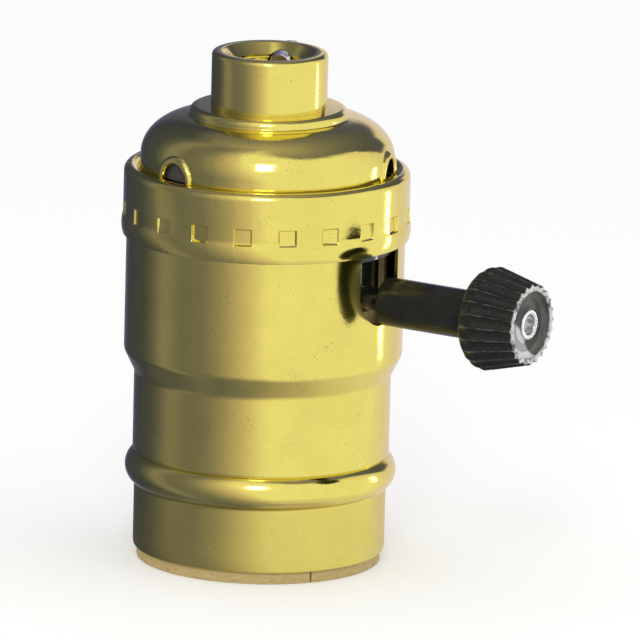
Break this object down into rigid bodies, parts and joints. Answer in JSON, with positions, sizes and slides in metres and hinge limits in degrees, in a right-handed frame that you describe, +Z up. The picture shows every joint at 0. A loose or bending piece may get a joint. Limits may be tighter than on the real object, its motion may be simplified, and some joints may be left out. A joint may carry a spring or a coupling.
{
  "type": "turn knob lamp socket",
  "caption": "Brass shell lamp socket with a threaded hub on top, a screw shell for a bulb below, and a side knob on a long stem that turns the switch.",
  "frame": {"origin": "centre of the mouth, on the lower edge of the insulating sleeve, on which the socket stands", "axes": "+Z up the socket's axis towards the hub, +X along the knob's spindle"},
  "size_m": [0.0598, 0.0376, 0.0672],
  "materials": {
    "polished_brass": "polished and lacquered, spun cap",
    "turned_brass": "turned and polished",
    "satin_brass": "fine satin with polished beads, lacquered",
    "plated_steel": "bright zinc plate",
    "liner_card": "vulcanised fibre, matte",
    "sleeve_card": "insulating card, matte",
    "black_phenolic": "moulded, glossy",
    "contact_brass": "plain rolled sheet",
    "contact_bronze": "spring bronze, plain",
    "brass_screw": "turned",
    "spring_steel": "blued spring steel",
    "spindle_steel": "drawn rod",
    "stem_black": "moulded, semi-gloss",
    "knob_black": "moulded, semi-gloss, ridges polished by use",
    "brown_phenolic": "moulded, matte"
  },
  "bodies": {
    "root": {"cap_shell": "polished_brass", "cap_hub": "turned_brass", "hub_set_screw": "plated_steel", "cap_liner": "liner_card", "outer_shell": "satin_brass", "insulating_sleeve": "sleeve_card", "switch_base": "black_phenolic", "switch_cover": "black_phenolic", "cover_screws": "plated_steel", "screw_shell": "contact_brass", "shell_screws": "plated_steel", "centre_contact": "contact_bronze", "contact_rivet": "contact_bronze", "line_terminal": "contact_brass", "line_screw": "brass_screw", "neutral_terminal": "contact_brass", "neutral_screw": "plated_steel", "lamp_contact": "contact_bronze", "detent_spring": "spring_steel"},
    "knob_rotor": {"spindle": "spindle_steel", "stem": "stem_black", "knob": "knob_black", "switch_rotor": "brown_phenolic", "rotor_contact": "contact_bronze", "spindle_clip": "spring_steel", "thrust_washer": "plated_steel"}
  },
  "joints": [
    {"name": "knob_turn", "type": "hinge", "parent": "root", "child": "knob_rotor", "pos_m": [0, 0, 0.0367], "axis": [1, 0, 0], "continuous": true}
  ]
}
